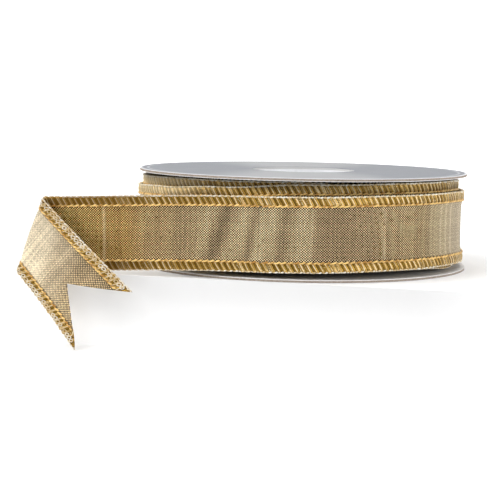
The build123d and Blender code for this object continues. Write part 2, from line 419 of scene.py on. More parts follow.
# ---- the overlocked edges
def edge_profile(upper, count=14):
    """Section of an overlocked edge: full over its wire, thinner where it meets the cloth."""
    turn = np.linspace(0, 2 * np.pi, count, endpoint=False)
    out = np.cos(turn)
    half_thick = EDGE_HALF_THICK * (0.62 + 0.38 * smooth((out + 1) / 1.4))
    y = EDGE_WIDTH / 2 * (1 + np.sign(out) * np.abs(out) ** 0.7)
    z = half_thick * np.sign(np.sin(turn)) * np.abs(np.sin(turn)) ** 0.75
    if upper:
        return RIBBON_WIDTH - EDGE_WIDTH + y, z
    return EDGE_WIDTH - y, z


def in_from(upper, distance):
    """Height across the ribbon of a line that lies in from its upper or lower edge."""
    return RIBBON_WIDTH - distance if upper else distance


def edge_piece(name, section, upper):
    """The thread-wrapped body of one edge of a section."""
    profile_y, profile_z = edge_profile(upper)
    start = np.array([SECTIONS[section]["start"](value) for value in profile_y])
    end = np.array([SECTIONS[section]["end"](value) for value in profile_y])
    rows = int(np.ceil((end - start).max() / (0.52 * MM))) + 1
    share = np.linspace(0, 1, rows)[:, None]
    x = start + (end - start) * share
    middle = in_from(upper, EDGE_WIDTH / 2)
    phase = (x - STITCH_SLANT * (profile_y - middle)) / STITCH_PITCH
    swell = 1 - 0.12 * (0.5 + 0.5 * np.cos(2 * np.pi * (phase - 0.5))) ** 2
    piece = tube_piece(name, x, profile_y, profile_z * swell, middle)
    make_active(piece)
    bpy.ops.object.shade_smooth_by_angle(angle=math.radians(60))
    return piece


def modelled(add, size, turned=0.0, **options):
    """Points and faces of a shape added at the origin, turned about Y and scaled in edit mode."""
    deselect_all()
    add(rotation=(0, turned, 0), **options)
    shape = bpy.context.object
    bpy.ops.object.transform_apply(location=False, rotation=True, scale=False)
    bpy.ops.object.mode_set(mode="EDIT")
    bpy.ops.mesh.select_all(action="SELECT")
    bpy.ops.transform.resize(value=size, center_override=(0, 0, 0))
    bpy.ops.object.mode_set(mode="OBJECT")
    points = np.array([v.co for v in shape.data.vertices], float)
    faces = [tuple(p.vertices) for p in shape.data.polygons]
    bpy.data.objects.remove(shape, do_unlink=True)
    return points, faces


# One overlock loop round the edge.
stitch_points, stitch_faces = modelled(
    bpy.ops.mesh.primitive_torus_add,
    (1.45 * MM, EDGE_WIDTH / 2 - 0.05 * MM, EDGE_HALF_THICK + 0.03 * MM),
    turned=math.pi / 2,
    major_segments=12,
    minor_segments=4,
    major_radius=1.0,
    minor_radius=0.14,
)
# One link of the needle thread's chain.
link_points, link_faces = modelled(
    bpy.ops.mesh.primitive_uv_sphere_add,
    (0.68 * MM, 0.29 * MM, 0.24 * MM),
    turned=math.pi / 2,
    segments=7,
    ring_count=5,
    radius=1.0,
)
# One ring of the looper thread's chain, flat on the ribbon's inner side.
ring_points, ring_faces = modelled(
    bpy.ops.mesh.primitive_torus_add,
    (0.76 * MM, 0.46 * MM, 0.45 * MM),
    major_segments=10,
    minor_segments=5,
    major_radius=1.0,
    minor_radius=0.3,
)


def copies_along(name, shape_points, shape_faces, spots, section):
    """Copies of one flat shape along the ribbon, laid on it. A spot is (x, y, z, slant, shear, scale)."""
    all_points, all_faces, all_uv = [], [], []
    for number, (x, y, z, slant, shear, scale) in enumerate(spots):
        turned = shape_points * scale
        shifted_x = turned[:, 0] * math.cos(slant) - turned[:, 1] * math.sin(slant)
        shifted_y = turned[:, 0] * math.sin(slant) + turned[:, 1] * math.cos(slant)
        shifted_x = shifted_x + shear * turned[:, 1]
        flat = np.stack([shifted_x + x, shifted_y + y, turned[:, 2] + z], 1)
        base = number * len(shape_points)
        all_points.append(flat)
        all_faces += [tuple(i + base for i in f) for f in shape_faces]
        all_uv.append(np.stack([np.full(len(flat), x), shape_points[:, 1] + number * MM], 1))
    flat = np.concatenate(all_points)
    if section == "flap":
        limit = cut_at(np.clip(flat[:, 1], 0, RIBBON_WIDTH))
        flat[:, 0] = np.minimum(flat[:, 0], limit)
    piece = piece_from(name, on_ribbon(flat), all_faces, np.concatenate(all_uv))
    recalculate_outward(piece)
    return piece


def spots_along(section, y, pitch, offset=0.0, margin=0.0):
    """Evenly spaced places along one section at a height across the ribbon."""
    start = SECTIONS[section]["start"](y)
    end = SECTIONS[section]["end"](y) - margin
    first = math.ceil((start - offset) / pitch)
    last = math.floor((end - offset) / pitch - 1e-9)
    return [number * pitch + offset for number in range(first, last + 1)]


def stitches_piece(name, section, upper):
    """The bright overlock loops of one edge."""
    generator = np.random.default_rng(11 if upper else 12)
    middle = in_from(upper, EDGE_WIDTH / 2)
    spots = []
    for x in spots_along(section, middle, STITCH_PITCH, margin=0.4 * MM * (section == "flap")):
        jitter = generator.normal(0, 0.05 * MM)
        spots.append((x + jitter, middle, 0, 0, STITCH_SLANT + generator.normal(0, 0.05), 1))
    return copies_along(name, stitch_points, stitch_faces, spots, section)


def edge_chain_piece(name, section, upper):
    """The looper threads' crossings along the outermost edge."""
    generator = np.random.default_rng(31 if upper else 32)
    y = in_from(upper, 0.16 * MM)
    middle = {"flap": 0.2 * MM}.get(section, -0.3 * MM if upper else -0.14 * MM)
    spots = []
    for x in spots_along(section, y, NEEDLE_PITCH, offset=0.3 * MM, margin=0.3 * MM):
        side = -1 if len(spots) % 2 else 1
        spots.append((x + generator.normal(0, 0.04 * MM), y, side * 0.14 * MM + middle, 0.25 * side, 0, 1))
    return copies_along(name, link_points * (0.9, 1.1, 1.9), link_faces, spots, section)


def needle_piece(name, section, upper):
    """The needle thread's chain along the inner border of one edge, on the sides that show."""
    generator = np.random.default_rng(21 if upper else 22)
    y = in_from(upper, EDGE_WIDTH + 0.05 * MM)
    sides = (-1,) if section == "roll" else (-1, 1)
    spots = []
    for side in sides:
        places = spots_along(section, y, NEEDLE_PITCH, offset=0.25 * MM * side, margin=0.3 * MM)
        for number, x in enumerate(places):
            beat = 1 if number % 2 else -1
            shift = generator.normal(0, 0.04 * MM)
            place = (x + shift, y + 0.1 * MM * beat, side * 0.42 * MM)
            spots.append((*place, 0.35 * side, 0, 1.08 + 0.2 * beat))
    return copies_along(name, link_points, link_faces, spots, section)


def looper_rings_piece(name, section, upper):
    """The looper thread's rings down the middle of one edge, on the ribbon's inner side."""
    generator = np.random.default_rng(41 if upper else 42)
    y = in_from(upper, EDGE_WIDTH * 0.38)
    spots = []
    for x in spots_along(section, y, RING_PITCH, offset=0.4 * MM, margin=0.7 * MM):
        shift = generator.normal(0, 0.05 * MM)
        spots.append((x + shift, y, EDGE_HALF_THICK + 0.02 * MM, generator.normal(0.55, 0.15), 0, 1))
    return copies_along(name, ring_points, ring_faces, spots, section)


def wire_piece(name, section, upper):
    """The soft wire inside one edge."""
    y = in_from(upper, WIRE_INSET)
    start, end = SECTIONS[section]["start"](y), SECTIONS[section]["end"](y) - 0.6 * MM * (section == "flap")
    rows = int(np.ceil((end - start) / (1.5 * MM))) + 1
    if section == "flap":
        rows *= 3
    turn = np.linspace(0, 2 * np.pi, 8, endpoint=False)
    x = np.broadcast_to(np.linspace(start, end, rows)[:, None], (rows, len(turn)))
    return tube_piece(name, x, y + WIRE_RADIUS * np.cos(turn), WIRE_RADIUS * np.sin(turn))


# ---- the inner turns
def inner_turns_piece(name):
    """The wound turns inside the outer ones, each with its cloth and both full edges."""
    half, thin = 0.44 * MM, 0.15 * MM
    y = np.array([0, 0.25, 1.2, 2.8, 3.6, 12.6, 21.7, 22.5, 24.1, 25.05, RIBBON_WIDTH / MM]) * MM
    z = np.array([0, 0.8, 1, 0.8, 0, 0, 0, 0.8, 1, 0.8, 0])
    z = np.where(z > 0, z * half, thin)
    z[0] = z[-1] = 0
    profile_y = np.concatenate([y, y[-2:0:-1]])
    profile_z = np.concatenate([-z, z[-2:0:-1]])
    start, end = -WHOLE_ROLL_LENGTH, -OUTER_TURNS_LENGTH
    rows = int((end - start) / (3.6 * MM))
    x = np.broadcast_to(np.linspace(start, end, rows)[:, None], (rows, len(profile_y)))
    return tube_piece(name, x, profile_y, profile_z)


# ---- material helpers
def start_material(name):
    """A new node material and its main parts."""
    material = bpy.data.materials.new(name)
    material.use_nodes = True
    tree = material.node_tree
    return material, tree, tree.nodes["Principled BSDF"]


def feed(tree, socket, value):
    """Gives a socket a number or another socket's value."""
    if isinstance(value, bpy.types.NodeSocket):
        tree.links.new(value, socket)
    else:
        socket.default_value = value


def calc(tree, operation, first, second=0.0, third=0.0):
    """A math node's result."""
    node = tree.nodes.new("ShaderNodeMath")
    node.operation = operation
    for socket, value in zip(node.inputs, (first, second, third)):
        feed(tree, socket, value)
    return node.outputs[0]


def times(tree, first, second):
    """The product of two values."""
    return calc(tree, "MULTIPLY", first, second)


def plus(tree, first, second):
    """The sum of two values."""
    return calc(tree, "ADD", first, second)


def minus(tree, first, second):
    """The first value less the second."""
    return calc(tree, "SUBTRACT", first, second)


def sine(tree, value, rate):
    """The sine of a value times a rate."""
    return calc(tree, "SINE", times(tree, value, rate))


def ramp(tree, value, low, high, to_low=0.0, to_high=1.0):
    """A value eased from one range to another."""
    node = tree.nodes.new("ShaderNodeMapRange")
    node.interpolation_type = "SMOOTHSTEP"
    for socket, given in zip(node.inputs, (value, low, high, to_low, to_high)):
        feed(tree, socket, given)
    return node.outputs[0]


def blend_colours(tree, share, first, second):
    """A mix of two colours."""
    node = tree.nodes.new("ShaderNodeMix")
    node.data_type = "RGBA"
    for slot, value in ((0, share), (6, first), (7, second)):
        feed(tree, node.inputs[slot], (*value, 1) if isinstance(value, tuple) else value)
    return node.outputs[2]


def blend_values(tree, share, first, second):
    """A mix of two numbers."""
    rest = minus(tree, 1.0, share)
    return plus(tree, times(tree, first, rest), times(tree, second, share))


def scale_colour(tree, colour, amount):
    """A colour made brighter or darker by a factor."""
    node = tree.nodes.new("ShaderNodeVectorMath")
    node.operation = "SCALE"
    tree.links.new(colour, node.inputs[0])
    feed(tree, node.inputs["Scale"], amount)
    return node.outputs[0]


def coordinates(tree, kind, scale=(1, 1, 1)):
    """Object or UV coordinates, scaled."""
    source = tree.nodes.new("ShaderNodeTexCoord").outputs[kind]
    mapping = tree.nodes.new("ShaderNodeMapping")
    mapping.inputs["Scale"].default_value = scale
    tree.links.new(source, mapping.inputs["Vector"])
    return mapping.outputs[0]


def noise(tree, vector, scale, detail=2.0, roughness=0.5):
    """Soft noise on a set of coordinates."""
    node = tree.nodes.new("ShaderNodeTexNoise")
    tree.links.new(vector, node.inputs["Vector"])
    node.inputs["Scale"].default_value = scale
    node.inputs["Detail"].default_value = detail
    node.inputs["Roughness"].default_value = roughness
    return node.outputs["Fac"]


def parts_of(tree, vector):
    """The X, Y and Z of a vector."""
    node = tree.nodes.new("ShaderNodeSeparateXYZ")
    tree.links.new(vector, node.inputs[0])
    return node.outputs


def radius_in(tree, place):
    """Distance from the spool's axis."""
    x, y, _ = parts_of(tree, place)
    return calc(tree, "SQRT", plus(tree, times(tree, x, x), times(tree, y, y)))


def set_shader(tree, shader, colour, roughness, metallic=0.0, specular=0.5):
    """Gives the shader its colour and its main values."""
    tree.links.new(colour, shader.inputs["Base Color"])
    feed(tree, shader.inputs["Roughness"], roughness)
    shader.inputs["Metallic"].default_value = metallic
    shader.inputs["Specular IOR Level"].default_value = specular


def per_thread(tree, value, seed):
    """A steady random number for each whole step of a value."""
    node = tree.nodes.new("ShaderNodeTexWhiteNoise")
    node.noise_dimensions = "1D"
    tree.links.new(plus(tree, calc(tree, "FLOOR", value), seed), node.inputs["W"])
    return node.outputs["Value"]


def add_bump(tree, shader, height, strength, distance):
    """Bump from a height, given to the shader."""
    node = tree.nodes.new("ShaderNodeBump")
    node.inputs["Strength"].default_value = strength
    node.inputs["Distance"].default_value = distance
    tree.links.new(height, node.inputs["Height"])
    tree.links.new(node.outputs[0], shader.inputs["Normal"])


# ---- materials
# The flange's radius and the height above which threads lie shaded set the painted shade under the upper
# flange; the pressed ring's radius and where the rim starts set painted highlights on the flange paper; the
# riser shade is the depth of a painted shadow on the riser.
FLANGE_RADIUS = 0.0593
SHADED_ABOVE = 0.0335
PRESSED_RING_RADIUS = 0.0564
RIM_HIGHLIGHT_FROM = 0.0581
STAGE_GLOW = 0.24
RISER_GLOW = 0.36
RISER_SHADE = 0.28
WARP_PITCH = 0.42
WEFT_PITCH = 0.455


def woven_gold(name):
    """Plain-woven metallic cloth on the ribbon's UV map, in millimetres, with painted light and shade along
    it.
    """
    material, tree, shader = start_material(name)
    painted_light_and_slubs = tree.nodes.new("ShaderNodeAttribute")
    painted_light_and_slubs.attribute_name = "painted_light_and_slubs"
    # Painted light carried by the attribute: bright is painted shade and highlight, warm a painted warm
    # bounce near the crease, silver painted reflection together with the pale slub lines.
    bright, painted_warm_bounce, silver = parts_of(tree, painted_light_and_slubs.outputs["Vector"])
    vector = coordinates(tree, "UV")
    u, v, _ = parts_of(tree, vector)
    stray = noise(tree, vector, 0.9, 2)
    across = plus(tree, calc(tree, "DIVIDE", u, WEFT_PITCH), times(tree, stray, 0.4))
    along = plus(tree, calc(tree, "DIVIDE", v, WARP_PITCH), times(tree, stray, 0.4))
    wave_u = sine(tree, across, math.pi)
    wave_v = sine(tree, along, math.pi)
    checker = times(tree, wave_u, wave_v)
    weft_tone = per_thread(tree, across, 3.0)
    warp_tone = per_thread(tree, along, 40.0)
    grain = noise(tree, coordinates(tree, "UV", (2.2, 2.2, 1)), 1.0, 3, 0.7)
    light = blend_colours(tree, painted_warm_bounce, (1.0, 0.755, 0.43), (1.0, 0.62, 0.22))
    light = blend_colours(tree, silver, light, (1.0, 0.86, 0.64))
    dark = blend_colours(tree, silver, (0.010, 0.005, 0.001), (0.72, 0.61, 0.43))
    cell = blend_colours(tree, ramp(tree, checker, 0.03, 0.46), dark, light)
    tone = calc(tree, "MULTIPLY_ADD", warp_tone, 0.09, times(tree, grain, 0.78))
    tone = calc(tree, "MULTIPLY_ADD", weft_tone, 0.13, tone)
    slub = times(tree, calc(tree, "GREATER_THAN", weft_tone, 0.982), 0.25)
    drift = noise(tree, coordinates(tree, "UV", (0.09, 0.05, 1)), 1.0, 2)
    scale = plus(tree, calc(tree, "MAXIMUM", calc(tree, "MULTIPLY_ADD", tone, 3.05, -0.26), 0.62), slub)
    # Painted shade along each border, beating with the needle stitches.
    from_border = calc(tree, "ABSOLUTE", minus(tree, v, RIBBON_WIDTH / MM / 2))
    needle_beat = calc(tree, "COSINE", times(tree, u, 2 * math.pi * MM / STITCH_PITCH))
    needle_shade = calc(tree, "MULTIPLY_ADD", needle_beat, 0.25, 0.4)
    at_border = times(tree, ramp(tree, from_border, 8.5, 9.1), needle_shade)
    scale = times(tree, scale, minus(tree, 1.0, at_border))
    scale = times(tree, scale, calc(tree, "MULTIPLY_ADD", drift, 0.2, 0.9))
    scale = times(tree, scale, bright)
    roughness = ramp(tree, checker, -0.5, 0.5, 0.55, 0.38)
    set_shader(tree, shader, scale_colour(tree, cell, scale), roughness, metallic=0.5, specular=0.15)
    height = plus(tree, calc(tree, "ABSOLUTE", checker), times(tree, grain, 0.4))
    add_bump(tree, shader, height, 0.6, 0.00012)
    return material


def painted_flange_shade(tree):
    """Painted shade: dims the threads that lie back under the upper flange, most of all at the middle of the
    front.
    """
    place = coordinates(tree, "Object")
    x, _, z = parts_of(tree, place)
    set_back = minus(tree, FLANGE_RADIUS, radius_in(tree, place))
    depth = calc(tree, "MULTIPLY_ADD", set_back, 1.6, minus(tree, z, SHADED_ABOVE))
    deepest = plus(tree, ramp(tree, x, -0.045, -0.012, 0.46, 0.36), ramp(tree, x, 0.012, 0.042, 0.0, 0.36))
    return ramp(tree, depth, -0.0016, 0.0012, 1.0, deepest)


def painted_tail_shade(tree, u, colour, floor):
    """Painted shade: turns the threads a deeper, darker gold along the tail, and a little on the flap."""
    share = plus(tree, ramp(tree, u, 0, 25, 0.0, 0.35), ramp(tree, u, 35, 52, 0.0, 0.35))
    share = times(tree, share, ramp(tree, u, 72, 80, 1.0, 0.3))
    return blend_colours(tree, share, colour, floor)


def painted_left_glint(tree, u, colour):
    """Painted highlight: silvers the threads of the second turn where they face left."""
    x, _, _ = parts_of(tree, coordinates(tree, "Object"))
    share = times(tree, ramp(tree, x, -0.05, -0.026, 0.26, 0.0), ramp(tree, u, -200, -150, 1.0, 0.0))
    return blend_colours(tree, share, colour, (1.0, 0.89, 0.6))


def thread_gold(name):
    """Fine metallic threads wrapped over an edge, slanted with its loops and darker between them, as painted
    shade.
    """
    material, tree, shader = start_material(name)
    vector = coordinates(tree, "UV")
    u, v, _ = parts_of(tree, vector)
    slanted = minus(tree, u, times(tree, v, STITCH_SLANT))
    stray = times(tree, noise(tree, vector, 1.3, 2), 0.3)
    threads = calc(tree, "DIVIDE", plus(tree, slanted, stray), STITCH_PITCH / MM / 3)
    ridge = calc(tree, "ABSOLUTE", sine(tree, threads, math.pi))
    tone = per_thread(tree, threads, 7.0)
    grain = noise(tree, coordinates(tree, "UV", (3.2, 3.2, 1)), 1.0, 3)
    cycle = calc(tree, "COSINE", times(tree, slanted, 2 * math.pi * MM / STITCH_PITCH))
    mottle = plus(tree, times(tree, tone, 0.35), grain)
    share = times(tree, ramp(tree, ridge, 0.1, 0.9, 0.15, 1.0), ramp(tree, mottle, 0.4, 0.9, 0.35, 1.0))
    share = times(tree, share, ramp(tree, cycle, -1.0, -0.2, 0.25, 1.0))
    colour = blend_colours(tree, share, (0.075, 0.036, 0.004), (0.80, 0.48, 0.09))
    flash = ramp(tree, mottle, 0.78, 0.95, 0.0, 0.7)
    colour = blend_colours(tree, flash, colour, (1.0, 0.86, 0.55))
    # Painted shade along the tail, a painted highlight where the second turn faces left, and painted shade
    # under the upper flange.
    colour = painted_left_glint(tree, u, painted_tail_shade(tree, u, colour, (0.17, 0.085, 0.012)))
    colour = scale_colour(tree, colour, painted_flange_shade(tree))
    set_shader(tree, shader, colour, 0.36, metallic=0.7, specular=0.15)
    add_bump(tree, shader, ridge, 0.8, 0.00014)
    return material


def bright_thread(name, light, dark, pitch, metallic, roughness, with_painted_light=False):
    """A single shiny thread, with its twist and each loop's own tone, painted shade under the upper flange
    and, when asked, painted shade along the tail and a painted highlight where the second turn faces left.
    """
    material, tree, shader = start_material(name)
    vector = coordinates(tree, "UV")
    u, v, _ = parts_of(tree, vector)
    own = per_thread(tree, calc(tree, "DIVIDE", u, pitch / MM), 5.0)
    twist = calc(tree, "SINE", times(tree, plus(tree, v, u), 11.0))
    grain = noise(tree, coordinates(tree, "Object", (1800, 1800, 1800)), 1.0, 2)
    share = plus(tree, times(tree, own, 0.45), times(tree, grain, 0.7))
    colour = blend_colours(tree, ramp(tree, share, 0.35, 0.85), light, dark)
    if with_painted_light:
        colour = painted_left_glint(tree, u, painted_tail_shade(tree, u, colour, (0.26, 0.135, 0.025)))
    set_shader(tree, shader, scale_colour(tree, colour, painted_flange_shade(tree)), roughness, metallic)
    add_bump(tree, shader, plus(tree, twist, grain), 0.35, 0.00006)
    return material


def turns_gold(name, light, dark):
    """The wound turns: woven cloth between two thread-wrapped edges."""
    material, tree, shader = start_material(name)
    vector = coordinates(tree, "UV")
    u, v, _ = parts_of(tree, vector)
    middle = calc(tree, "ABSOLUTE", minus(tree, v, RIBBON_WIDTH / MM / 2))
    on_edge = calc(tree, "GREATER_THAN", middle, RIBBON_WIDTH / MM / 2 - EDGE_WIDTH / MM)
    weave = times(tree, sine(tree, u, math.pi / WEFT_PITCH), sine(tree, v, math.pi / WARP_PITCH))
    loops = calc(tree, "SINE", times(tree, plus(tree, u, times(tree, v, 0.4)), math.pi))
    height = blend_values(tree, on_edge, weave, loops)
    colour = blend_colours(tree, ramp(tree, height, -0.6, 0.8), dark, light)
    set_shader(tree, shader, colour, 0.5, metallic=0.4)
    add_bump(tree, shader, height, 0.5, 0.00015)
    return material


def silver_laminate():
    """Satin silver-grey laminated paper: fine grain, a painted broad sheen, scuffs, a painted highlight along
    the pressed ring and a painted highlight round the rim.
    """
    material, tree, shader = start_material("silver_laminate")
    place = coordinates(tree, "Object")
    radius = radius_in(tree, place)
    cloud = noise(tree, place, 30.0, 3)
    fibre = noise(tree, coordinates(tree, "Object", (150, 3000, 150)), 1.0, 2)
    speck = noise(tree, place, 1500.0, 2, 0.7)
    scuff = ramp(tree, noise(tree, coordinates(tree, "Object", (60, 420, 60)), 1.0, 4, 0.7), 0.56, 0.66)
    tone = plus(tree, times(tree, cloud, 0.5), times(tree, fibre, 0.5))
    base = blend_colours(tree, ramp(tree, tone, 0.3, 0.7), (0.215, 0.226, 0.248), (0.265, 0.275, 0.30))
    x, y, _ = parts_of(tree, place)
    # Painted reflection: a broad bow-tie sheen across the middle, widening away from the centre.
    widening = times(tree, calc(tree, "ABSOLUTE", y), 0.4)
    across = minus(tree, calc(tree, "ABSOLUTE", plus(tree, x, 0.003)), widening)
    painted_sheen = ramp(tree, across, -0.004, 0.020, 0.75, 0.0)
    base = blend_colours(tree, painted_sheen, base, (0.41, 0.41, 0.415))
    base = blend_colours(tree, times(tree, scuff, 0.12), base, (0.52, 0.52, 0.53))
    # Painted highlight along the pressed ring.
    from_ring = calc(tree, "ABSOLUTE", minus(tree, radius, PRESSED_RING_RADIUS))
    base = blend_colours(tree, ramp(tree, from_ring, 0.0002, 0.0007, 0.6, 0.0), base, (0.55, 0.56, 0.59))
    # Painted highlight round the rim, lighter towards its edge.
    base = blend_colours(tree, ramp(tree, radius, RIM_HIGHLIGHT_FROM, 0.0590, 0.0, 0.9), base, (0.80, 0.81, 0.84))
    base = blend_colours(tree, ramp(tree, speck, 0.62, 0.72, 0.0, 0.4), base, (0.5, 0.5, 0.51))
    set_shader(tree, shader, base, ramp(tree, tone, 0.2, 0.8, 0.45, 0.6), specular=0.08)
    add_bump(tree, shader, plus(tree, speck, fibre), 0.1, 0.00006)
    return material


def chipboard():
    """Grey-brown chipboard with pressed layers and fibres on its cut edge."""
    material, tree, shader = start_material("grey_chipboard")
    place = coordinates(tree, "Object")
    layers = noise(tree, coordinates(tree, "Object", (120, 120, 9000)), 1.0, 3, 0.7)
    fibre = noise(tree, place, 1500.0, 3, 0.7)
    tone = plus(tree, times(tree, layers, 0.6), times(tree, fibre, 0.4))
    base = blend_colours(tree, ramp(tree, tone, 0.3, 0.7), (0.20, 0.155, 0.12), (0.50, 0.43, 0.37))
    in_bore = ramp(tree, radius_in(tree, place), 0.0186, 0.0190, 0.9, 0.0)
    base = blend_colours(tree, in_bore, base, (0.70, 0.70, 0.70))
    set_shader(tree, shader, base, 0.88, specular=0.25)
    add_bump(tree, shader, tone, 0.6, 0.00012)
    return material


def pale_paper(name, light, dark, lap=False):
    """Uncoated pale paper with visible fibres, and a spiral lap on the tube's lining."""
    material, tree, shader = start_material(name)
    place = coordinates(tree, "Object")
    x, y, z = parts_of(tree, place)
    fibre = noise(tree, place, 900.0, 4, 0.65)
    cloud = noise(tree, place, 60.0, 2)
    tone = plus(tree, times(tree, fibre, 0.6), times(tree, cloud, 0.4))
    base = blend_colours(tree, ramp(tree, tone, 0.3, 0.7), dark, light)
    height = tone
    if lap:
        turned = calc(tree, "ARCTAN2", y, x)
        spiral = plus(tree, times(tree, turned, 1 / (2 * math.pi)), times(tree, z, 38.0))
        step = calc(tree, "FRACT", spiral)
        lap_line = ramp(tree, step, 0.0, 0.03, 1.0, 0.0)
        base = blend_colours(tree, times(tree, lap_line, 0.6), base, (0.35, 0.33, 0.30))
        height = plus(tree, tone, times(tree, step, 1.5))
    set_shader(tree, shader, base, 0.8, specular=0.3)
    add_bump(tree, shader, height, 0.3, 0.0001)
    return material


def hot_glue():
    """Cloudy hot-melt glue with small bubbles."""
    material, tree, shader = start_material("hot_glue")
    place = coordinates(tree, "Object")
    cloud = noise(tree, place, 700.0, 3)
    bubbles = ramp(tree, noise(tree, place, 2400.0, 1), 0.6, 0.7)
    base = blend_colours(tree, cloud, (0.80, 0.74, 0.58), (0.90, 0.87, 0.78))
    base = blend_colours(tree, times(tree, bubbles, 0.4), base, (0.97, 0.95, 0.9))
    set_shader(tree, shader, base, 0.35)
    shader.inputs["Subsurface Weight"].default_value = 0.2
    add_bump(tree, shader, cloud, 0.5, 0.0002)
    return material


def frosted_tape():
    """Frosted tape with a fine crosswise grain."""
    material, tree, shader = start_material("frosted_tape")
    place = coordinates(tree, "Object")
    grain = noise(tree, coordinates(tree, "Object", (300, 300, 5000)), 1.0, 2)
    cloud = noise(tree, place, 300.0, 2)
    base = blend_colours(tree, ramp(tree, cloud, 0.3, 0.7), (0.78, 0.75, 0.66), (0.88, 0.86, 0.80))
    set_shader(tree, shader, base, ramp(tree, grain, 0.3, 0.7, 0.25, 0.5))
    add_bump(tree, shader, grain, 0.2, 0.00005)
    return material


def annealed_wire():
    """Soft grey wire with drawn lines."""
    material, tree, shader = start_material("annealed_wire")
    vector = coordinates(tree, "UV", (0.3, 14.0, 1))
    drawn = noise(tree, vector, 1.0, 3)
    base = blend_colours(tree, drawn, (0.25, 0.24, 0.23), (0.55, 0.54, 0.52))
    set_shader(tree, shader, base, ramp(tree, drawn, 0.2, 0.8, 0.3, 0.5), metallic=1.0)
    add_bump(tree, shader, drawn, 0.2, 0.00003)
    return material


def stage_white(name, glow, shade):
    """Plain pale floor with the faintest mottle and a soft glow, and a painted shadow where the glow is
    weaker by the spool's front.
    """
    material, tree, shader = start_material(name)
    place = coordinates(tree, "Object")
    x, y, z = parts_of(tree, place)
    base = blend_colours(tree, noise(tree, place, 3.0, 2), (0.76, 0.76, 0.76), (0.78, 0.78, 0.78))
    set_shader(tree, shader, base, 1.0, specular=0.0)
    shader.inputs["Emission Color"].default_value = (1, 1, 1, 1)
    # Painted shadow: the glow is weaker on the riser near the spool, most of all just under its top edge.
    near_spool = ramp(tree, calc(tree, "ABSOLUTE", plus(tree, x, 0.01)), 0.045, 0.085, 1.0, 0.0)
    painted_contact_shadow = times(tree, near_spool, ramp(tree, z, -0.026, -0.0005, 0.0, shade))
    spread = minus(tree, ramp(tree, y, 0.1, 0.7, glow, 0.8), painted_contact_shadow)
    tree.links.new(spread, shader.inputs["Emission Strength"])
    return material


gold_cloth = woven_gold("woven_gold")
gold_edge = thread_gold("edge_gold")
SILVERY, DULL_GOLD = (1.0, 0.86, 0.58), (0.62, 0.42, 0.14)
WHITE_GOLD, TAN_GOLD = (1.0, 0.96, 0.84), (0.72, 0.53, 0.24)
ORANGE_GOLD, BROWN_GOLD = (1.0, 0.70, 0.26), (0.46, 0.21, 0.03)
loop_thread = bright_thread("loop_thread", SILVERY, DULL_GOLD, STITCH_PITCH, 0.35, 0.28, with_painted_light=True)
edge_thread = bright_thread("edge_thread", WHITE_GOLD, TAN_GOLD, NEEDLE_PITCH, 0.2, 0.3, with_painted_light=True)
needle_thread = bright_thread("needle_thread", ORANGE_GOLD, BROWN_GOLD, NEEDLE_PITCH, 0.3, 0.35)
wound_gold = turns_gold("wound_gold", (0.50, 0.36, 0.15), (0.06, 0.035, 0.01))
silver_paper = silver_laminate()
board = chipboard()
white_paper = pale_paper("white_paper", (0.97, 0.965, 0.96), (0.89, 0.88, 0.87))
lining_paper = pale_paper("lining_paper", (0.97, 0.98, 1.0), (0.88, 0.89, 0.91), lap=True)
glue = hot_glue()
tape = frosted_tape()
wire_metal = annealed_wire()


def paint(piece, material):
    """Gives a new piece its one material."""
    piece.data.materials.clear()
    piece.data.materials.append(material)
    return piece


# ---- the ribbon's pieces
# How each section's cloth is held, its flat length, and its mean length when a cut shortens it.
CLOTHS = {
    "roll": ("stretched", OUTER_TURNS_LENGTH, None),
    "tail": ("hung", 0.0745, None),
    "flap": ("folded", 0.048, 0.0395),
}
for section, (held, flat_length, mean_length) in CLOTHS.items():
    cloth = paint(cloth_piece(section + "_cloth", section), gold_cloth)
    keep_with_body(cloth, section)
    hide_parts(section + "_web")
    for side, upper in (("upper", True), ("lower", False)):
        node = section + "_" + side
        edge = paint(edge_piece(node + "_overlock", section, upper), gold_edge)
        loops = paint(stitches_piece(node + "_loops", section, upper), loop_thread)
        needle = paint(needle_piece(node + "_needle_line", section, upper), needle_thread)
        chain = paint(edge_chain_piece(node + "_edge_chain", section, upper), edge_thread)
        wire = paint(wire_piece(node + "_soft_wire", section, upper), wire_metal)
        pieces = [edge, loops, needle, chain, wire]
        if section != "roll":
            rings = looper_rings_piece(node + "_looper_rings", section, upper)
            pieces.append(paint(rings, edge_thread))
        for piece in pieces:
            keep_with_body(piece, section)
        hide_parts(node + "_edge")
        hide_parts(node + "_wire")

inner_turns = paint(inner_turns_piece("inner_turns"), wound_gold)
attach(inner_turns, "spool")
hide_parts("ribbon_inner_turns")


# ---- the flanges' outer papers
BORE_RADIUS = 18.5 * MM
RING_SHARE = 0.951
RING_HALF = 0.45 * MM
RING_DEPTH = 0.07 * MM
RIM_EASE = 0.05 * MM
PAPER_SEGMENTS = 180


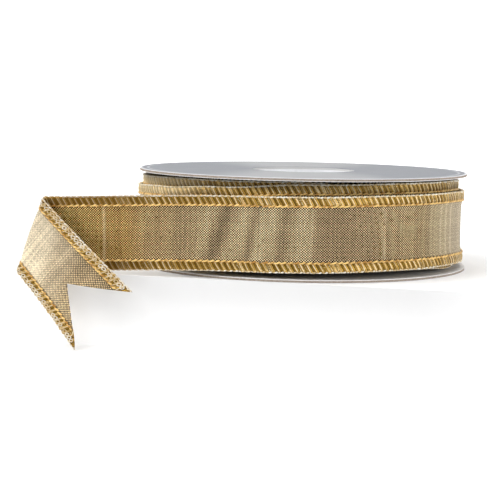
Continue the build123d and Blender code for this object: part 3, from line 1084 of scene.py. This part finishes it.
def pressed_paper(name, node, outward):
    """A flange's outer paper, spun round the spool's axis, with a pressed ring near its rim and its bore."""
    low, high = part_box(node)
    rim = high.x
    face, back = (high.z, low.z) if outward > 0 else (low.z, high.z)
    ring, inner_ring = rim * RING_SHARE, BORE_RADIUS + 2.6 * MM
    even = np.linspace(BORE_RADIUS + 0.12 * MM, rim - 0.12 * MM, 60)
    steps = []
    for radius in np.concatenate([even, ring + RING_HALF * np.linspace(-1.4, 1.4, 9)]):
        dip = RING_DEPTH * math.exp(-((radius - ring) / (RING_HALF * 0.6)) ** 2)
        dip += 0.4 * RING_DEPTH * math.exp(-((radius - inner_ring) / (RING_HALF * 0.8)) ** 2)
        steps.append((radius, face - outward * dip))
    eased = face - outward * RIM_EASE
    outline = [(BORE_RADIUS, back), (BORE_RADIUS, eased)] + sorted(steps) + [(rim, eased), (rim, back)]
    turn = np.linspace(0, 2 * np.pi, PAPER_SEGMENTS, endpoint=False)[:, None]
    across, height = np.array(outline).T
    points = np.stack(np.broadcast_arrays(across * np.cos(turn), across * np.sin(turn), height), -1)
    points = points.reshape(-1, 3)
    faces = grid_faces(PAPER_SEGMENTS + 1, len(outline), closed=True) % len(points)
    piece = piece_from(name, points, faces)
    recalculate_outward(piece)
    make_active(piece)
    bpy.ops.object.shade_smooth_by_angle(angle=math.radians(35))
    return piece


for side, outward in (("upper", 1), ("lower", -1)):
    node = side + "_flange_outer_paper"
    paper = paint(pressed_paper(side + "_pressed_paper", node, outward), silver_paper)
    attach(paper, "spool")
    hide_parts(node)

# ---- finishes of the pieces kept as designed
KEPT_FINISHES = {
    "lower_flange_board": board,
    "upper_flange_board": board,
    "lower_flange_inner_paper": white_paper,
    "upper_flange_inner_paper": white_paper,
    "core_tube": board,
    "core_lining": lining_paper,
    "lower_glue_ring": glue,
    "upper_glue_ring": glue,
    "start_tape": tape,
}
for node, material in KEPT_FINISHES.items():
    frame["nodes"][node].data.materials.clear()
    frame["nodes"][node].data.materials.append(material)


# ---- floor, light and camera
def stage_block(name, points, high, low):
    """A flat-topped block of the stage from its outline."""
    count = len(points)
    vertices = [(x, y, high) for x, y in points] + [(x, y, low) for x, y in points]
    faces = [tuple(range(count)), tuple(reversed(range(count, 2 * count)))]
    faces += [(i, i + count, (i + 1) % count + count, (i + 1) % count) for i in range(count)]
    block = piece_from(name, vertices, faces, smooth_shaded=False)
    recalculate_outward(block)
    block.data.materials.append(white_floor)
    block.data.materials.append(white_riser)
    for face in block.data.polygons:
        face.material_index = int(abs(face.normal.z) < 0.5)


white_floor = stage_white("stage_white", STAGE_GLOW, 0.0)
white_riser = stage_white("stage_riser", RISER_GLOW, RISER_SHADE)
STEP_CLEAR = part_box("lower_flange_board")[1].x + 0.4 * MM
STEP_REACH = 3.0
STAGE_BOTTOM = -60 * MM
WALL_FRONT, WALL_BACK, WALL_TOP = 2.4, 2.5, 1.6
edge_point = STEP_CLEAR * tail_outward
left_end, right_end = edge_point + STEP_REACH * tail_along, edge_point - STEP_REACH * tail_along
back = -STEP_REACH * tail_outward
table_outline = [(p.x, p.y) for p in (left_end, right_end, right_end + back, left_end + back)]
stage_block("table_top", table_outline, 0.0, STAGE_BOTTOM)
floor_level = cad_low.z - 0.6 * MM
front = 2 * STEP_REACH * tail_outward
floor_outline = [(p.x, p.y) for p in (left_end, left_end + front, right_end + front, right_end)]
stage_block("lower_floor", floor_outline, floor_level, STAGE_BOTTOM)
wall_outline = [(side * STEP_REACH, WALL_FRONT) for side in (-1, 1)]
wall_outline += [(side * STEP_REACH, WALL_BACK) for side in (1, -1)]
stage_block("back_wall", wall_outline, WALL_TOP, STAGE_BOTTOM)

CAMERA_PLACE = Vector((-21.21, -605.01, 65.32)) * MM
CAMERA_PITCH = math.radians(5.491)
CAMERA_ROLL = math.radians(1.055)
forward = Vector((0, math.cos(CAMERA_PITCH), -math.sin(CAMERA_PITCH)))
level_up = Vector((1, 0, 0)).cross(forward)
right = math.cos(CAMERA_ROLL) * Vector((1, 0, 0)) + math.sin(CAMERA_ROLL) * level_up
up = right.cross(forward)
camera_data = bpy.data.cameras.new("camera")
camera_data.lens = 122.78
camera_data.sensor_width = 36
camera = bpy.data.objects.new("camera", camera_data)
camera.matrix_world = Matrix.Translation(CAMERA_PLACE) @ Matrix((right, up, -forward)).transposed().to_4x4()
bpy.context.scene.collection.objects.link(camera)
bpy.context.scene.camera = camera


def soft_light(name, place, aim, size, power):
    """A square studio light aimed at a point."""
    data = bpy.data.lights.new(name, "AREA")
    data.shape = "SQUARE"
    data.size = size
    data.energy = power
    light = bpy.data.objects.new(name, data)
    light.location = place
    light.rotation_euler = (Vector(aim) - Vector(place)).to_track_quat("-Z", "Y").to_euler()
    bpy.context.scene.collection.objects.link(light)


soft_light("key_light", (-0.85, -0.55, 1.35), (0, 0, 0), 0.9, 12)
soft_light("top_light", (0.15, 0.1, 1.5), (0, 0, 0.02), 1.0, 9)
soft_light("left_light", (-1.3, -0.15, 0.35), (0, 0, 0.02), 0.6, 5)
soft_light("right_light", (1.25, -0.6, 0.2), (0, 0, 0.01), 0.6, 7.5)

world = bpy.data.worlds.new("studio")
world.use_nodes = True
background = world.node_tree.nodes["Background"]
background.inputs["Color"].default_value = (1, 1, 1, 1)
background.inputs["Strength"].default_value = 0.38
bpy.context.scene.world = world
bpy.context.scene.view_settings.view_transform = "Standard"
bpy.context.scene.view_settings.look = "None"
